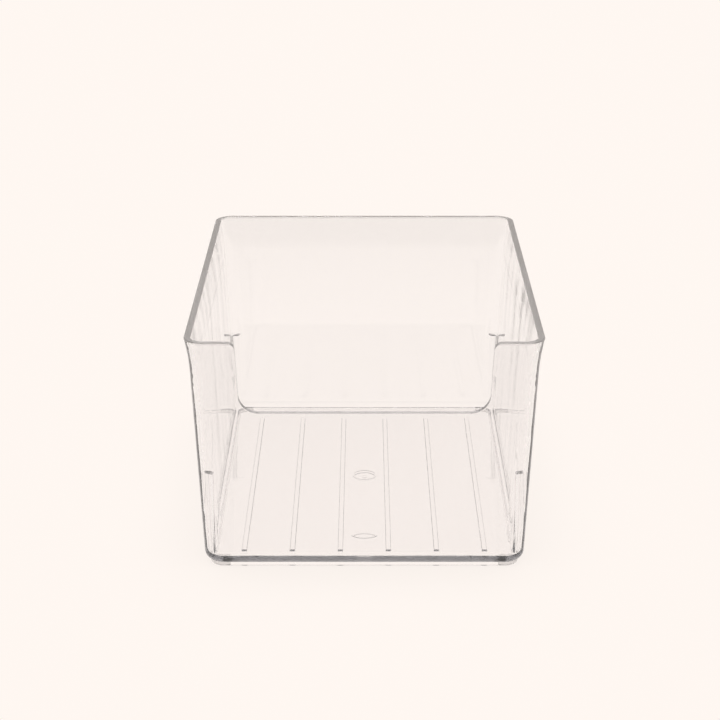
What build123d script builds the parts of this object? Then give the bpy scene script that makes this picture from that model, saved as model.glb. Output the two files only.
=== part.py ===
"""Clear open-front fridge bin: a one-piece moulded shell standing on four clear corner feet.

Frame: X across the bin, Y along its depth with the open front at -Y, Z up.
Origin: on the surface the bin stands on, under the middle of the rim.
Units: millimetres and degrees.
"""

import os
from math import radians, sqrt, tan

from build123d import *

# --- Overall sizes ---
rim_width = 160.0
rim_length = 208.0
height = 112.0
corner_radius = 9.2  # outside, seen from above

# --- Walls ---
wall = 3.0
floor_thickness = 3.2
wall_draft = 2.5  # how far the straight part of every wall leans outward
flare_height = 17.0  # the top of the wall curves outward over this height
flare_reach = 1.4  # how far the flare carries the rim beyond the straight wall
rim_round = 0.3
base_edge_radius = 4.5
floor_edge_radius = 3.0

# --- Dip in the front wall ---
dip_depth = 34.0
dip_width = 111.6  # at the bottom, before its corners are rounded
dip_side_lean = 2.7  # how far the dip's sides open upward
dip_corner_radius = 8.8
dip_shoulder_radius = 3.4

# --- Corner ledges inside ---
ledge_height = 47.0  # above the surface the bin stands on
ledge_width = 4.5  # out from the inner wall faces at ledge height
ledge_edge_radius = 2.2

# --- Floor ribs ---
rib_count = 6
rib_pitch = 22.3
rib_width = 2.4
rib_height = 0.9
rib_top_round = 0.3
rib_front_gap = 6.5  # from the front wall's inner face, at the floor
rib_rear_gap = 16.0
rib_ramp = 4.0  # each rib runs out into the floor over this length at the rear

# --- Moulding marks ---
mark_diameter = 12.2
mark_line = 0.7
mark_height = 0.25
gate_recess = 0.4  # the round dish under the middle of the floor
gate_nub_diameter = 2.4
eye_mark_width = 5.6
eye_mark_offset = 72.0  # in front of the gate

# --- Base ring and feet ---
stand_height = 1.6  # underside of the floor above the surface the bin stands on
ring_inset = 2.4  # from the foot of the outer wall
ring_width = 2.0
ring_lift = 0.1  # the ring hangs this far above the surface the bin stands on
foot_leg = 9.5  # each foot's two legs, measured from its outer corner
foot_toe_radius = 0.4
foot_clearance = 0.1  # between a foot and the ring ends and pocket sides
pocket_depth = 0.8
glue_film = 0.05

# --- How far pieces that are joined reach into each other or stand past a cut ---
root = 0.2
spare = 5.0

# --- Worked out from the sizes above ---
lean = tan(radians(wall_draft))
flare_radius = (flare_height**2 + flare_reach**2) / (2 * flare_reach)
shoulder_z = height - flare_height
floor_top = stand_height + floor_thickness
dip_z = height - dip_depth
sides = [(x_side, y_side) for x_side in (-1, 1) for y_side in (-1, 1)]


# --- Wall outlines ---
def wall_reach(z):
    """How far the outer wall at height z stands outside its line at height 0."""
    over = max(z - shoulder_z, 0.0)
    return lean * z + flare_radius - sqrt(flare_radius**2 - over**2)


def outer_size(z):
    """Width and length over the outer wall faces at height z."""
    narrowing = 2 * (wall_reach(height) - wall_reach(z))
    return rim_width - narrowing, rim_length - narrowing


def outline(z, inset=0.0):
    """The wall's rounded rectangle at height z, moved inward by inset."""
    width, length = outer_size(z)
    plan = RectangleRounded(width - 2 * inset, length - 2 * inset, corner_radius - inset)
    return Pos(0, 0, z) * plan


def wall_block(low_z, inset, rise=0.0):
    """Solid inside the wall's outline from low_z to the rim, and rise above it."""
    straight = loft([outline(low_z, inset), outline(shoulder_z, inset)], ruled=True)
    steps = 4
    heights = [shoulder_z + flare_height * i / steps for i in range(steps + 1)]
    block = straight + loft([outline(z, inset) for z in heights])
    if rise:
        block += extrude(outline(height, inset), rise)
    return block


def round_bottom(block, radius):
    """The block with the edge around its bottom face rounded."""
    return fillet(block.edges().group_by(Axis.Z)[0], radius)


def near(value, target):
    return abs(value - target) < 0.01


# --- Shell ---
def ledge_column(x_side, y_side):
    """The column that fills one inner corner from the floor up to its ledge."""
    width, length = outer_size(ledge_height)
    corner_x = width / 2 - wall - ledge_width
    corner_y = length / 2 - wall - ledge_width
    side = ledge_width + wall / 2
    plan = Rectangle(side, side, align=(Align.MIN, Align.MIN))
    inner_corner = plan.vertices().sort_by(lambda v: v.X + v.Y)[0]
    plan = fillet(inner_corner, ledge_edge_radius)
    column = Pos(corner_x, corner_y, stand_height) * extrude(plan, ledge_height - stand_height)
    if x_side < 0:
        column = mirror(column, Plane.YZ)
    if y_side < 0:
        column = mirror(column, Plane.XZ)
    return column


def cavity():
    """The space inside the walls and above the floor, less the corner columns."""
    space = round_bottom(wall_block(floor_top, wall, rise=spare), floor_edge_radius)
    for x_side, y_side in sides:
        space -= ledge_column(x_side, y_side)
    return space


def dip_cutter():
    """Prism through the front wall in the shape of its dip, opening out above the rim."""
    half = dip_width / 2
    half_top = half + dip_depth * tan(radians(dip_side_lean))
    wing = half_top + 2 * dip_shoulder_radius
    above = height + spare
    right = [(half, dip_z), (half_top, height), (wing, height), (wing, above)]
    left = [(-x, z) for x, z in reversed(right)]
    face = Plane.XZ * make_face(Polyline(*right, *left, close=True))
    bottom = [v for v in face.vertices() if near(v.Z, dip_z)]
    face = fillet(bottom, dip_corner_radius)
    on_rim = [v for v in face.vertices() if near(v.Z, height)]
    shoulders = [v for v in on_rim if near(abs(v.X), half_top)]
    face = fillet(shoulders, dip_shoulder_radius)
    front = rim_length / 2 + spare
    reach = spare + wall_reach(height) + 2 * wall
    return Pos(0, -front + reach, 0) * extrude(face, reach, dir=(0, -1, 0))


def lip_edges(shell, cutter):
    """The edges that run along the rim and the dip, not the short ones across the wall."""
    found = []
    for edge in shell.edges():
        middle = edge.position_at(0.5)
        tangent = edge.tangent_at(0.5)
        on_rim = near(middle.Z, height) and abs(tangent.Z) < 0.5
        on_dip = middle.Y < 0 and middle.Z > dip_z - root and cutter.distance_to(Vertex(*middle)) < 1e-4
        crosses = edge.length < 2 * wall and abs(tangent.Y) > 0.7
        if (on_rim or on_dip) and not crosses:
            found.append(edge)
    return found


def rib(x):
    """One floor rib, square at the front and running out into the floor at the rear."""
    inner_length = outer_size(floor_top)[1] - 2 * wall
    front = -inner_length / 2 + rib_front_gap
    rear = inner_length / 2 - rib_rear_gap
    low = floor_top - root
    top = floor_top + rib_height
    side_view = Polyline(
        (front, low), (front, top), (rear - rib_ramp, top), (rear, floor_top), (rear, low), close=True
    )
    bar = extrude(Plane.YZ * make_face(side_view), rib_width / 2, both=True)
    top_edges = [e for e in bar.edges() if near(e.center().Z, top) and e.length > 2 * rib_width]
    return Pos(x, 0, 0) * fillet(top_edges, rib_top_round)


def ribs():
    first = -rib_pitch * (rib_count - 1) / 2
    return [rib(first + rib_pitch * i) for i in range(rib_count)]


def marks():
    """Fine raised lines that the mould leaves on the floor: a circle and an eye shape."""
    circle = Circle(mark_diameter / 2)
    circle -= offset(circle, -mark_line)
    half = mark_diameter / 2
    low = eye_mark_width / 2
    eye = make_face(
        ThreePointArc((-half, 0), (0, low), (half, 0)) + ThreePointArc((half, 0), (0, -low), (-half, 0))
    )
    eye -= scale(eye, (1 - 3 * mark_line / mark_diameter, 1 - 2 * mark_line / eye_mark_width, 1))
    lines = [circle, Pos(0, -eye_mark_offset) * eye]
    return [extrude(Pos(0, 0, floor_top - root) * line, root + mark_height) for line in lines]


def gate_dish():
    """The shallow round recess under the middle of the floor, around the gate's nub."""
    plan = Circle(mark_diameter / 2 - mark_line) - Circle(gate_nub_diameter / 2)
    return extrude(Pos(0, 0, stand_height) * plan, gate_recess)


# --- Base ring and feet ---
def ring_outline(inset):
    """The base ring's rounded rectangle, moved inward by inset from its outer face."""
    width, length = outer_size(0)
    gap = ring_inset + inset
    return RectangleRounded(width - 2 * gap, length - 2 * gap, corner_radius - gap)


def ring_band(extra=0.0):
    """The flat band that the base ring and the feet share, widened each way by extra."""
    return ring_outline(-extra) - ring_outline(ring_width + extra)


def corner_square(x_side, y_side, leg):
    """Square over one corner of the ring, reaching leg inward from the ring's outer faces."""
    width, length = outer_size(0)
    side = leg + ring_inset
    x = width / 2 - side / 2
    y = length / 2 - side / 2
    return Pos(x_side * x, y_side * y) * Rectangle(side, side)


def base_ring():
    """The ring under the floor, without the stretches where the feet stand."""
    plan = ring_band()
    for x_side, y_side in sides:
        plan -= corner_square(x_side, y_side, foot_leg + foot_clearance)
    tall = stand_height + floor_thickness / 2 - ring_lift
    return [extrude(Pos(0, 0, ring_lift) * face, tall) for face in plan.faces()]


def foot_plan(x_side, y_side, extra):
    """One foot seen from above, widened each way by extra."""
    return ring_band(extra) & corner_square(x_side, y_side, foot_leg + extra)


def foot_pocket(x_side, y_side):
    """The pocket in the shell's underside that a foot is glued into."""
    return extrude(foot_plan(x_side, y_side, foot_clearance), stand_height + pocket_depth)


def foot(x_side, y_side):
    """One corner foot, an L that follows the ring's rounded corner."""
    tall = stand_height + pocket_depth - glue_film
    body = extrude(foot_plan(x_side, y_side, 0.0), tall)
    return fillet(body.edges().group_by(Axis.Z)[0], foot_toe_radius)


def bin_shell():
    shell = round_bottom(wall_block(stand_height, 0.0), base_edge_radius) - cavity()
    for piece in base_ring():
        shell += piece
    cutter = dip_cutter()
    shell -= cutter
    shell = fillet(lip_edges(shell, cutter), rim_round)
    for piece in ribs() + marks():
        shell += piece
    shell -= gate_dish()
    for x_side, y_side in sides:
        shell -= foot_pocket(x_side, y_side)
    return shell


if __name__ == "__main__":
    os.makedirs("parts", exist_ok=True)
    export_step(bin_shell(), "parts/bin_shell.step")
    x_names = {-1: "left", 1: "right"}
    y_names = {-1: "front", 1: "rear"}
    for x_side, y_side in sides:
        name = f"foot_{y_names[y_side]}_{x_names[x_side]}"
        export_step(foot(x_side, y_side), f"parts/{name}.step")
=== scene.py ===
"""The looks of the clear fridge bin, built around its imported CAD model."""

from math import radians

import bpy
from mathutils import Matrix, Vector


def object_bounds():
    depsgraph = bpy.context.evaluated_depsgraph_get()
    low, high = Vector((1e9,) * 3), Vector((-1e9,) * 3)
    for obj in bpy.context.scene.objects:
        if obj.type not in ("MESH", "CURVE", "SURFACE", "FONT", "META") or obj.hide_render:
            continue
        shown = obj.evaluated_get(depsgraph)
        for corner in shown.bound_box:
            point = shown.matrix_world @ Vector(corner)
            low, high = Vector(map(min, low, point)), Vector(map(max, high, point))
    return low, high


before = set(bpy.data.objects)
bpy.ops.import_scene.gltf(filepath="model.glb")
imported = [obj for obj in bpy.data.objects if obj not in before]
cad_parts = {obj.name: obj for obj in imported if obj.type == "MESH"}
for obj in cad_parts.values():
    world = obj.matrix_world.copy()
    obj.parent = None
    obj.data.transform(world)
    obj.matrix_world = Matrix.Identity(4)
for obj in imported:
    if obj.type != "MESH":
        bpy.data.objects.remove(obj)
cad_low, cad_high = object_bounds()

# --- The studio, in metres ---
PALE_CREAM = (0.998, 0.931, 0.883, 1.0)
FLOOR_SIZE = 14.0
FRONT_SHADE = 0.35  # how bright the plastic sees the studio in front, against behind it: painted shade on the floor, and a dimmer backdrop
FLOOR_SHADE_FADE = (-0.8, -0.1)  # painted shade: the floor brightens over this stretch of Y
BACKDROP_FADE = (-0.3, 0.5)  # and the backdrop over this range of a direction's Y
OVERHEAD_FADE = (0.35, 0.7)  # or of its Z, whichever is brighter
CONTACT_SHADE = 0.93  # painted contact shadow: the floor's brightness right under an edge
CONTACT_REACH = 0.05
CONTACT_OPEN = (0.2, 1.0)  # from a covered spot to an open one
CONTACT_SAMPLES = 8

# --- The camera; its distances are multiples of the rim's width ---
CAMERA_ABOVE_RIM = 1.7008
CAMERA_BEFORE_RIM = 4.804
CAMERA_PITCH = radians(20.0)
CAMERA_LENS = 93.15
CAMERA_SENSOR = 36.0
CAMERA_SHIFT = -0.0061
CAMERA_REACH = 50.0

# --- The plastic ---
SHELL_TINT = (0.985, 0.979, 0.98, 1.0)
SHELL_ROUGHNESS = (0.0, 0.006)  # of a clean and of a worn spot
SHELL_GRAIN = 900.0  # specks of wear per metre
# the feet's grey is painted shade, far darker than the shell's own colour, to show the dark look of
# the clear feet
FOOT_TINT_AND_SHADE = (0.72, 0.71, 0.71, 1.0)
FOOT_ROUGHNESS = (0.05, 0.12)
FOOT_GRAIN = 1500.0
WEAR_DETAIL = 6.0
ROUGH_WEAR = (0.3, 0.7)  # the range of the wear noise that changes the roughness
HAZY_WEAR = (0.35, 0.75)  # and the range that changes the haze
IOR = 1.57
ABSORPTION = 6.0  # per metre
ABSORBED_HUE = (0.0, 0.02, 0.08, 1.0)  # the little green and blue that it keeps
HAZE_TINT = (0.95, 0.94, 0.93, 1.0)
HAZE = (0.010, 0.024)  # share of the light that a clean and a worn spot of the rim scatters
HAZE_RISE = (0.03, 0.11)  # hands touch the rim most, so the haze grows over this height
HAZE_AT_BASE = 0.1  # of the haze at the rim
LIP_HAZE = 0.34  # the rim's top face keeps the matt finish of the mould's parting line
LIP_RISE = (0.1108, 0.1118)
WAVE_SCALE = (65.0, 65.0, 9.0)  # waves per metre, long and upright like the flow of the melt
WAVE_STRENGTH = 0.05
WAVE_HEIGHT = 0.001
WAVE_FADE = (0.052, 0.064)  # the waves grow over this distance from the middle, in X

# --- Smooth shading over the CAD mesh ---
WELD_DISTANCE = 2e-6
SMOOTH_WEIGHT = 60

# --- Bounces: enough for light that runs along inside the walls ---
ALL_BOUNCES = 96
CLEAR_BOUNCES = 64
TRANSPARENT_BOUNCES = 32


class Graph:
    """A small helper that adds nodes to one node tree."""

    def __init__(self, tree):
        self.nodes = tree.nodes
        self.links = tree.links
        self.nodes.clear()

    def add(self, kind, inputs=None, **settings):
        node = self.nodes.new(kind)
        for key, value in settings.items():
            setattr(node, key, value)
        for key, value in (inputs or {}).items():
            if isinstance(value, bpy.types.NodeSocket):
                self.links.new(value, node.inputs[key])
            else:
                node.inputs[key].default_value = value
        return node

    def math(self, operation, *values):
        inputs = dict(enumerate(values))
        return self.add("ShaderNodeMath", inputs, operation=operation).outputs[0]

    def split(self, vector):
        """The X, Y and Z of a vector."""
        return self.add("ShaderNodeSeparateXYZ", {0: vector}).outputs

    def fade(self, value, start, end, low=0.0, high=1.0):
        """Value mapped smoothly from start-end to low-high."""
        inputs = {"Value": value, "From Min": start, "From Max": end, "To Min": low, "To Max": high}
        node = self.add("ShaderNodeMapRange", inputs, interpolation_type="SMOOTHSTEP")
        return node.outputs["Result"]

    def mix_shaders(self, share, first, second):
        """The first shader, with a share of the second."""
        inputs = {0: share, 1: first.outputs[0], 2: second.outputs[0]}
        return self.add("ShaderNodeMixShader", inputs)

    def by_ray(self, camera, others):
        """One value for what the camera sees directly, and another for every other ray."""
        seen = self.add("ShaderNodeLightPath").outputs["Is Camera Ray"]
        return self.add("ShaderNodeMix", {"Factor": seen, "A": others, "B": camera}).outputs[0]


def new_material(name):
    material = bpy.data.materials.new(name)
    material.use_nodes = True
    return material, Graph(material.node_tree)


def flow_waves(graph, place, x):
    """Faint upright waves in the side walls, as a surface normal."""
    upright = graph.add("ShaderNodeMapping", {"Vector": place, "Scale": WAVE_SCALE})
    noise = {"Vector": upright.outputs[0], "Scale": 1.0, "Detail": 0.0}
    waves = graph.add("ShaderNodeTexNoise", noise).outputs[0]
    height = graph.math("MULTIPLY", waves, graph.fade(graph.math("ABSOLUTE", x), *WAVE_FADE))
    inputs = {"Strength": WAVE_STRENGTH, "Distance": WAVE_HEIGHT, "Height": height}
    return graph.add("ShaderNodeBump", inputs).outputs[0]


def haze_share(graph, wear, z):
    """How much of the light is scattered: a little where hands touch, and most on the lip."""
    handled = graph.fade(z, *HAZE_RISE, HAZE_AT_BASE, 1.0)
    worn = graph.math("MULTIPLY", graph.fade(wear, *HAZY_WEAR, *HAZE), handled)
    return graph.math("MAXIMUM", worn, graph.fade(z, *LIP_RISE, 0.0, LIP_HAZE))


def clear_plastic(name, body_tint_and_shade, roughness, grain):
    """Clear moulded plastic with faint upright flow waves, fine wear and a slight body colour,
    which on the feet is darkened as painted shade.
    """
    material, graph = new_material(name)
    place = graph.add("ShaderNodeTexCoord").outputs["Object"]
    x, _, z = graph.split(place)
    specks = {"Vector": place, "Scale": grain, "Detail": WEAR_DETAIL}
    wear = graph.add("ShaderNodeTexNoise", specks).outputs[0]
    clear = graph.add(
        "ShaderNodeBsdfPrincipled",
        {
            "Base Color": body_tint_and_shade,
            "Transmission Weight": 1.0,
            "IOR": IOR,
            "Roughness": graph.fade(wear, *ROUGH_WEAR, *roughness),
            "Normal": flow_waves(graph, place, x),
        },
    )
    back = graph.add("ShaderNodeBsdfTranslucent", {"Color": HAZE_TINT})
    face = graph.add("ShaderNodeBsdfDiffuse", {"Color": HAZE_TINT})
    haze = graph.mix_shaders(0.5, back, face)
    surface = graph.mix_shaders(haze_share(graph, wear, z), clear, haze)
    body = graph.add("ShaderNodeVolumeAbsorption", {"Color": ABSORBED_HUE, "Density": ABSORPTION})
    ends = {"Surface": surface.outputs[0], "Volume": body.outputs[0]}
    graph.add("ShaderNodeOutputMaterial", ends)
    return material


def dress_cad():
    """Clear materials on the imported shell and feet, with smooth shading across the CAD faces."""
    shell_look = clear_plastic("clear_plastic", SHELL_TINT, SHELL_ROUGHNESS, SHELL_GRAIN)
    foot_look = clear_plastic("clear_foot", FOOT_TINT_AND_SHADE, FOOT_ROUGHNESS, FOOT_GRAIN)
    for name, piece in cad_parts.items():
        look = shell_look if name == "bin_shell" else foot_look
        piece.data.materials.clear()
        piece.data.materials.append(look)
        weld = piece.modifiers.new("Weld", "WELD")
        weld.merge_threshold = WELD_DISTANCE
        smooth = piece.modifiers.new("Smooth", "WEIGHTED_NORMAL")
        smooth.keep_sharp = True
        smooth.weight = SMOOTH_WEIGHT


def make_floor():
    """A plain pale floor that glows softly, with painted shade: the plastic sees it dimmer in front
    of the bin, and the camera sees a painted contact shadow under the bin's edges.
    """
    half = FLOOR_SIZE / 2
    corners = [(-half, -half, 0), (half, -half, 0), (half, half, 0), (-half, half, 0)]
    mesh = bpy.data.meshes.new("floor")
    mesh.from_pydata(corners, [], [(0, 1, 2, 3)])
    floor = bpy.data.objects.new("floor", mesh)
    bpy.context.scene.collection.objects.link(floor)
    material, graph = new_material("floor")
    _, y, _ = graph.split(graph.add("ShaderNodeNewGeometry").outputs["Position"])
    # painted shade: the floor glows dimmer in front of the bin for every ray but the camera's
    lit = graph.fade(y, *FLOOR_SHADE_FADE, FRONT_SHADE, 1.0)
    # painted contact shadow: ambient occlusion darkens the floor's glow close to the bin, for the
    # camera only
    contact = graph.add(
        "ShaderNodeAmbientOcclusion", {"Distance": CONTACT_REACH}, samples=CONTACT_SAMPLES
    )
    painted_contact_shadow = graph.fade(contact.outputs["AO"], *CONTACT_OPEN, CONTACT_SHADE, 1.0)
    strength = graph.by_ray(camera=painted_contact_shadow, others=lit)
    glow = graph.add("ShaderNodeEmission", {"Color": PALE_CREAM, "Strength": strength})
    graph.add("ShaderNodeOutputMaterial", {"Surface": glow.outputs[0]})
    mesh.materials.append(material)


def make_world():
    """A plain pale backdrop; the plastic sees it dimmer in front and to the sides."""
    world = bpy.data.worlds.new("studio")
    bpy.context.scene.world = world
    world.use_nodes = True
    graph = Graph(world.node_tree)
    _, y, z = graph.split(graph.add("ShaderNodeTexCoord").outputs["Generated"])
    behind = graph.fade(y, *BACKDROP_FADE, FRONT_SHADE, 1.0)
    overhead = graph.fade(z, *OVERHEAD_FADE, FRONT_SHADE, 1.0)
    strength = graph.by_ray(camera=1.0, others=graph.math("MAXIMUM", behind, overhead))
    light = graph.add("ShaderNodeBackground", {"Color": PALE_CREAM, "Strength": strength})
    graph.add("ShaderNodeOutputWorld", {"Surface": light.outputs[0]})


def make_camera():
    """A view from high in front of the bin, looking down into it."""
    width = cad_high.x - cad_low.x
    camera = bpy.data.cameras.new("camera")
    camera.lens = CAMERA_LENS
    camera.sensor_width = CAMERA_SENSOR
    camera.shift_x = CAMERA_SHIFT
    camera.clip_end = CAMERA_REACH
    holder = bpy.data.objects.new("camera", camera)
    holder.location = (
        0.0,
        cad_low.y - CAMERA_BEFORE_RIM * width,
        cad_high.z + CAMERA_ABOVE_RIM * width,
    )
    holder.rotation_euler = (radians(90) - CAMERA_PITCH, 0, 0)
    bpy.context.scene.collection.objects.link(holder)
    bpy.context.scene.camera = holder


def render_settings():
    scene = bpy.context.scene
    scene.view_settings.view_transform = "Standard"
    scene.cycles.max_bounces = ALL_BOUNCES
    scene.cycles.transmission_bounces = CLEAR_BOUNCES
    scene.cycles.glossy_bounces = CLEAR_BOUNCES
    scene.cycles.transparent_max_bounces = TRANSPARENT_BOUNCES


dress_cad()
make_floor()
make_world()
make_camera()
render_settings()
